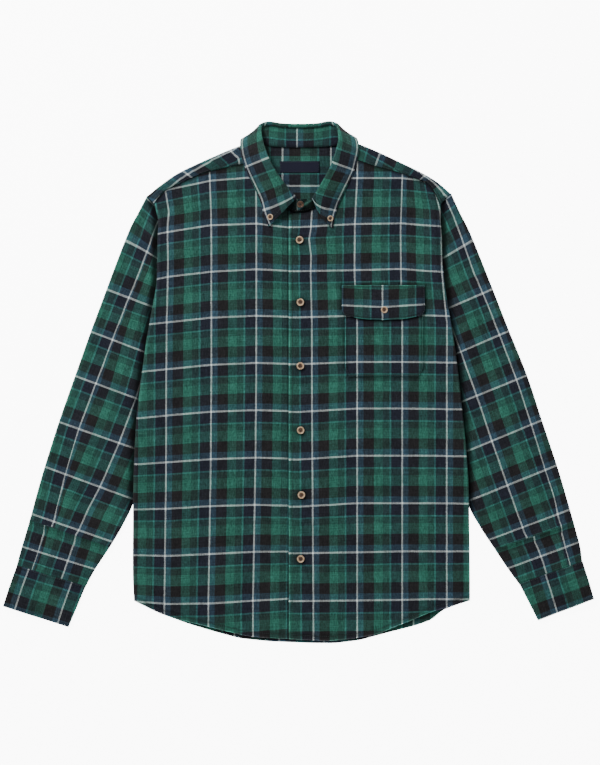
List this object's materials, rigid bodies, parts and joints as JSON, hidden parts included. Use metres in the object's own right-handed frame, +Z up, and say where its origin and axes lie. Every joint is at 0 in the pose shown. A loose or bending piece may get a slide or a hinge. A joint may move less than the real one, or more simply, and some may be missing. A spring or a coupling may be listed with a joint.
{
  "type": "flannel shirt",
  "caption": "Plaid flannel shirt with a button-down collar, long sleeves and a flapped chest pocket, buttoned up and laid flat on its back.",
  "frame": {"origin": "on the table under the middle of the shirt's outline", "axes": "+Z up from the table, +Y towards the collar, +X towards the wearer's left sleeve"},
  "size_m": [0.9144, 0.8075, 0.0216],
  "materials": {
    "flannel": "brushed plaid twill, matt with a soft nap",
    "flannel_doubled": "the same plaid twill, doubled and pressed",
    "horn_button": "brown four-hole button with a light tan rim",
    "label_tape": "plain navy woven tape, blank"
  },
  "bodies": {
    "root": {"back": "flannel", "front_right": "flannel", "front_left": "flannel", "yoke": "flannel", "sleeve_right": "flannel", "sleeve_left": "flannel", "cuff_right": "flannel_doubled", "cuff_left": "flannel_doubled", "collar_leaf": "flannel_doubled", "collar_stand": "flannel_doubled", "pocket": "flannel", "pocket_flap": "flannel", "neck_label": "label_tape", "button_front_1": "horn_button", "button_front_2": "horn_button", "button_front_3": "horn_button", "button_front_4": "horn_button", "button_front_5": "horn_button", "button_front_6": "horn_button", "button_flap": "horn_button", "button_collar_right": "horn_button", "button_collar_left": "horn_button", "button_stand": "horn_button", "button_cuff_right": "horn_button", "button_cuff_left": "horn_button"}
  },
  "joints": []
}
